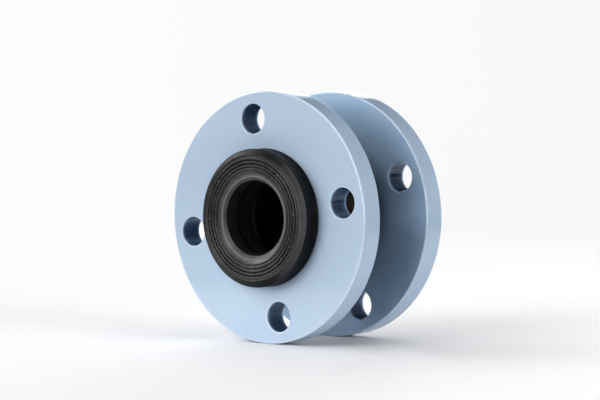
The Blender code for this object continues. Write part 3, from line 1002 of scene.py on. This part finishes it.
def ply_cord(name, lay):
    """Rubber-coated cord: parallel cords laid on the bias, with a little rubber between."""
    nodes = Nodes(name)
    _, station, angle = nodes.turned_place()
    bias = nodes.times(station, lay)
    phase = nodes.times(nodes.maths("ADD", angle, bias), CORD_COUNT)
    cords = nodes.spread(nodes.maths("SINE", phase), -1.0, 1.0)
    fuzz = nodes.noise(1400.0, 2.0, 0.6)
    shade = nodes.spread(fuzz, 0.2, 0.8, 0.75, 1.0)
    tone = nodes.times(nodes.maths("POWER", cords, 0.6), shade)
    tint = nodes.mixed(tone, CORD_GAP, CORD)
    normal = nodes.bump(cords, 0.18 * MM, 0.8)
    normal = nodes.bump(fuzz, 0.04 * MM, 0.4, normal)
    gloss = nodes.spread(fuzz, 0.3, 0.7, 0.75, 0.92)
    return nodes.surface(tint, gloss, normal, specular=0.35, sheen=0.15)


def bead_wire(name):
    """Bronze-coated steel wire with fine drawing marks."""
    nodes = Nodes(name)
    cloud = nodes.noise(400.0, 3.0, 0.6)
    tint = nodes.mixed(nodes.spread(cloud, 0.35, 0.7), *WIRE)
    normal = nodes.bump(nodes.noise(2600.0), 0.01 * MM, 0.5)
    gloss = nodes.spread(cloud, 0.3, 0.7, 0.26, 0.42)
    return nodes.surface(tint, gloss, normal, metallic=1.0)


def bead_fabric(name):
    """Square-woven tape, rubbed with black rubber."""
    nodes = Nodes(name)
    radius, station, angle = nodes.turned_place()
    warp = nodes.maths("SINE", nodes.times(angle, TAPE_WARP_COUNT))
    weft = nodes.waves(nodes.maths("ADD", station, radius), TAPE_PITCH)
    weave = nodes.spread(nodes.times(warp, weft), -1.0, 1.0)
    rubbed = nodes.spread(nodes.noise(160.0, 3.0, 0.6), 0.35, 0.65)
    tint = nodes.mixed(nodes.times(weave, rubbed), TAPE_GAP, TAPE)
    normal = nodes.bump(weave, 0.12 * MM, 0.8)
    gloss = nodes.spread(rubbed, 0.0, 1.0, 0.75, 0.92)
    return nodes.surface(tint, gloss, normal, specular=0.35)


# ==== the object ===========================================================================

MATERIALS = {
    "flange_paint": flange_paint("flange_paint_look"),
    "cover_rubber": cover_rubber("cover_rubber_look"),
    "liner_rubber": liner_rubber("liner_rubber_look"),
    "bead_wire": bead_wire("bead_wire_look"),
    "bead_fabric": bead_fabric("bead_fabric_look"),
    "first_cord_ply": ply_cord("ply_cord_first", CORD_LAY),
    "second_cord_ply": ply_cord("ply_cord_second", -CORD_LAY),
}

for label, side, clocking in (("front", -1.0, FRONT_CLOCKING), ("rear", 1.0, REAR_CLOCKING)):
    flange = add_piece(
        label + "_flange_plate",
        flange_mesh(label + "_flange_plate", clocking, side),
        MATERIALS["flange_paint"],
    )
    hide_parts(label + "_flange")
    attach(flange, label + "_flange")

    for part, make, slot in (
        ("sealing_collar", collar_mesh, "cover_rubber"),
        ("bead_ring", bead_ring_mesh, "bead_wire"),
        ("bead_wrap", bead_wrap_mesh, "bead_fabric"),
        ("bead_filler", bead_filler_mesh, "liner_rubber"),
    ):
        node = label + "_" + part
        piece = add_piece(node + "_skin", make(node + "_skin", side), MATERIALS[slot])
        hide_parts(node)
        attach(piece, label + "_end")

for layer, (_, _, slot) in LAYERS.items():
    look = MATERIALS.get(layer) or MATERIALS[slot]
    for zone, mesh in wall_zones(layer).items():
        piece = add_piece(layer + "_" + zone + "_zone", mesh, look)
        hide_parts(layer)
        if zone == "middle":
            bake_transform(piece)
        elif zone == "rear":
            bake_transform(piece)
        else:
            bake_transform(piece)


# ==== studio ===============================================================================

CAMERA_PLACE = Vector((0.857, -1.015, 0.060))
CAMERA_FORWARD = Vector((-0.6468, 0.7618, -0.0380))
CAMERA_RIGHT = Vector((0.7623, 0.6472, 0.0))
CAMERA_UP = Vector((-0.0246, 0.0290, 0.9993))
CAMERA_LENS = 129.7


def studio_place(right, toward, up):
    """A point given from the object's middle: to the camera's right, toward it, and up."""
    across = CAMERA_RIGHT.normalized()
    back = Vector((-CAMERA_FORWARD.x, -CAMERA_FORWARD.y, 0.0)).normalized()
    return across * right + back * toward + Vector((0.0, 0.0, up))


# soft windows of the studio, in degrees: way round from the camera's side toward its right,
# height, half width at full light, half width where it ends; then the light
STUDIO_WINDOWS = (
    (-60.0, 6.0, 3.0, 20.0, 4.9),
    (-40.0, 6.0, 3.0, 20.0, 3.0),
    (-85.0, 6.0, 3.0, 20.0, 0.63),
    (-40.0, 32.0, 6.0, 24.0, 2.0),
    (-80.0, 32.0, 6.0, 24.0, 1.5),
    (-120.0, 32.0, 6.0, 24.0, 3.16),
    (-160.0, 32.0, 6.0, 24.0, 1.8),
    (165.0, 6.0, 3.0, 20.0, 4.67),
    (140.0, 6.0, 3.0, 20.0, 0.58),
    (110.0, 6.0, 3.0, 20.0, 0.35),
    (65.0, 6.0, 3.0, 20.0, 1.12),
    (50.0, 6.0, 3.0, 20.0, 7.5),
    (120.0, 32.0, 6.0, 24.0, 0.18),
    (60.0, 58.0, 6.0, 24.0, 1.32),
    (120.0, 58.0, 6.0, 24.0, 0.29),
    (0.0, 90.0, 10.0, 35.0, 0.25),
)
ROOM_LIGHT = 0.004
BACKGROUND = (0.688, 0.688, 0.694, 1.0)
BACKGROUND_FALL = (-0.25, 0.25, 1.0, 0.955)   # from the left of the view to its right
FLOOR_COLOUR = (0.88, 0.88, 0.89, 1.0)
FLOOR_SIZE = 14.0
FLOOR_FADE = (0.25, 1.3)    # where it begins to fade into the background, and where it has
FLOOR_FRONT = 0.30          # how far in front of the object the lit floor reaches
FLOOR_REACH = 0.45          # and how far to the other sides


def add_floor():
    """Pale floor that fades into the white background far from the object."""
    mesh = bpy.data.meshes.new("studio_floor")
    corners = ((-1, -1), (1, -1), (1, 1), (-1, 1))
    points = [(x * FLOOR_SIZE, y * FLOOR_SIZE, FLOOR) for x, y in corners]
    mesh.from_pydata(points, [], [(0, 1, 2, 3)])
    nodes = Nodes("studio_floor_look")
    inputs = nodes.shader.inputs
    inputs["Base Color"].default_value = FLOOR_COLOUR
    inputs["Roughness"].default_value = 0.75
    inputs["Specular IOR Level"].default_value = 0.3

    far = nodes.add("ShaderNodeEmission")
    far.inputs["Color"].default_value = BACKGROUND
    nodes.wire(nodes.smooth_step(CAMERA_RIGHT, *BACKGROUND_FALL), far.inputs["Strength"])
    dark = nodes.add("ShaderNodeEmission")
    dark.inputs["Strength"].default_value = 0.0

    length = nodes.add("ShaderNodeVectorMath", operation="LENGTH")
    nodes.wire(nodes.place, length.inputs[0])
    distance = length.outputs["Value"]
    front = nodes.along(nodes.place, studio_place(0, 1, 0))
    before = nodes.spread(front, FLOOR_FRONT - 0.06, FLOOR_FRONT)
    beyond = nodes.spread(distance, FLOOR_REACH - 0.01, FLOOR_REACH + 0.01)
    seen = nodes.add("ShaderNodeLightPath").outputs["Is Camera Ray"]
    unseen = nodes.maths("SUBTRACT", 1.0, seen)
    unlit = nodes.times(nodes.maths("MAXIMUM", before, beyond), unseen)
    floor_shader = nodes.either(unlit, nodes.shader.outputs[0], dark.outputs[0])
    faded = nodes.times(nodes.spread(distance, *FLOOR_FADE), seen)
    whole = nodes.either(faded, floor_shader, far.outputs[0])
    nodes.wire(whole, nodes.tree.nodes["Material Output"].inputs["Surface"])

    mesh.materials.append(nodes.material)
    floor = bpy.data.objects.new("studio_floor", mesh)
    bpy.context.scene.collection.objects.link(floor)


def add_world():
    """White background for the camera; for the object, soft windows round a dark room."""
    world = bpy.data.worlds.new("studio")
    bpy.context.scene.world = world
    world.use_nodes = True
    world.node_tree.nodes.clear()
    graph = Graph(world.node_tree, "Generated")

    light = ROOM_LIGHT
    for window in STUDIO_WINDOWS:
        azimuth, height, inner, outer = (math.radians(number) for number in window[:4])
        middle = studio_place(
            math.cos(height) * math.sin(azimuth),
            math.cos(height) * math.cos(azimuth),
            math.sin(height),
        )
        glow = graph.smooth_step(middle, math.cos(outer), math.cos(inner), 0.0, window[4])
        light = graph.maths("ADD", light, glow)

    lit = graph.add("ShaderNodeBackground")
    lit.inputs["Color"].default_value = (1.0, 1.0, 1.0, 1.0)
    graph.wire(light, lit.inputs["Strength"])
    backdrop = graph.add("ShaderNodeBackground")
    backdrop.inputs["Color"].default_value = BACKGROUND
    graph.wire(graph.smooth_step(CAMERA_RIGHT, *BACKGROUND_FALL), backdrop.inputs["Strength"])
    seen = graph.add("ShaderNodeLightPath").outputs["Is Camera Ray"]
    output = graph.add("ShaderNodeOutputWorld")
    whole = graph.either(seen, lit.outputs[0], backdrop.outputs[0])
    graph.wire(whole, output.inputs["Surface"])


def add_camera():
    """The camera at the photo's viewing angle."""
    camera = bpy.data.cameras.new("camera")
    camera.lens = CAMERA_LENS
    camera.sensor_width = 36.0
    camera.clip_start = 0.05
    camera.clip_end = 60.0
    holder = bpy.data.objects.new("camera", camera)
    bpy.context.scene.collection.objects.link(holder)
    bpy.context.scene.camera = holder
    forward = CAMERA_FORWARD.normalized()
    right = forward.cross(CAMERA_UP).normalized()
    up = right.cross(forward)
    columns = (*right, 0.0), (*up, 0.0), (*-forward, 0.0), (*CAMERA_PLACE, 1.0)
    holder.matrix_world = Matrix(columns).transposed()


add_floor()
add_world()
add_camera()

settings = bpy.context.scene.view_settings
settings.view_transform = "Standard"
settings.look = "High Contrast"
settings.exposure = 0.0
settings.gamma = 1.0
